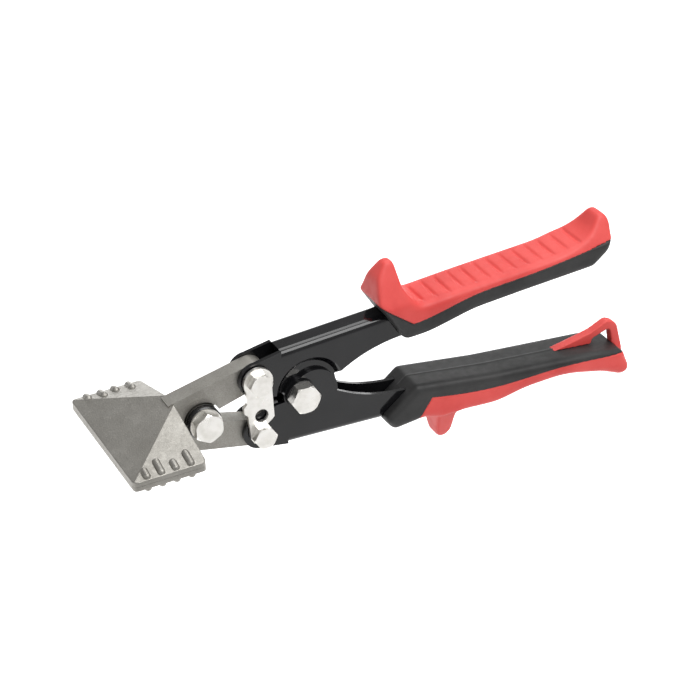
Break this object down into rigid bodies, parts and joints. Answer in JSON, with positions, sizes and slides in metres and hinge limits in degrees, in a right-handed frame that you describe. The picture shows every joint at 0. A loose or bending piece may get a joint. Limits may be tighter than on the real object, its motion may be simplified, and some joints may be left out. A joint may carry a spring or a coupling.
{
  "type": "hand seamer",
  "caption": "Compound-leverage hand seamer: wide flat hinged jaws with hipped backs, channel handles, thumb latch and two-part moulded grips.",
  "frame": {"origin": "on the jaw pivot's axis, midway across the tool, in the plane where the closed jaws meet", "axes": "+X from the jaws towards the grips, +Y along the pivot bolts from their heads to their nuts, +Z the way the upper jaw and upper handle open"},
  "size_m": [0.2713, 0.08, 0.1021],
  "materials": {
    "jaw_steel": "satin, bead blasted",
    "black_steel": "gloss",
    "zinc_steel": "bright zinc plate",
    "spring_steel": "satin",
    "black_plastic": "matte",
    "red_plastic": "matte"
  },
  "bodies": {
    "lower_lever": {"lower_handle": "black_steel", "lower_grip_inner": "black_plastic", "lower_grip_outer": "red_plastic", "hang_loop": "red_plastic", "handle_pivot_bolt": "zinc_steel", "handle_pivot_washers": "black_steel", "handle_pivot_nut": "zinc_steel", "pivot_sleeve": "zinc_steel", "return_spring": "spring_steel", "lower_tail_bolt": "zinc_steel", "lower_tail_nut": "zinc_steel"},
    "upper_lever": {"upper_handle": "black_steel", "upper_grip_inner": "black_plastic", "upper_grip_outer": "red_plastic", "upper_tail_bolt": "zinc_steel", "upper_tail_nut": "zinc_steel", "latch_spring_washer": "spring_steel"},
    "lower_jaw_arm": {"lower_jaw": "jaw_steel", "jaw_pivot_bolt": "zinc_steel", "jaw_pivot_washers": "zinc_steel", "jaw_pivot_nut": "zinc_steel"},
    "upper_jaw_arm": {"upper_jaw": "jaw_steel"},
    "latch_plate": {"latch": "zinc_steel"}
  },
  "joints": [
    {"name": "handle_pivot", "type": "hinge", "parent": "lower_lever", "child": "upper_lever", "pos_m": [0.048, 0, 0], "axis": [0, -1, 0], "range_deg": [0, 16]},
    {"name": "lower_tail_pivot", "type": "hinge", "parent": "lower_lever", "child": "lower_jaw_arm", "pos_m": [0.0267, 0, -0.0139], "axis": [0, -1, 0], "range_deg": [0, 14.46]},
    {"name": "jaw_pivot", "type": "hinge", "parent": "lower_jaw_arm", "child": "upper_jaw_arm", "pos_m": [0, 0, 0], "axis": [0, 1, 0], "range_deg": [0, 12.93]},
    {"name": "latch_pivot", "type": "hinge", "parent": "upper_lever", "child": "latch_plate", "pos_m": [0.0267, 0, 0.0139], "axis": [0, 1, 0], "range_deg": [0, 43.2]}
  ],
  "couplings": [
    {"joint": "lower_tail_pivot", "follows": "handle_pivot", "ratio": 0.904},
    {"joint": "jaw_pivot", "follows": "handle_pivot", "ratio": 0.808},
    {"joint": "latch_pivot", "follows": "handle_pivot", "ratio": 2.7}
  ]
}
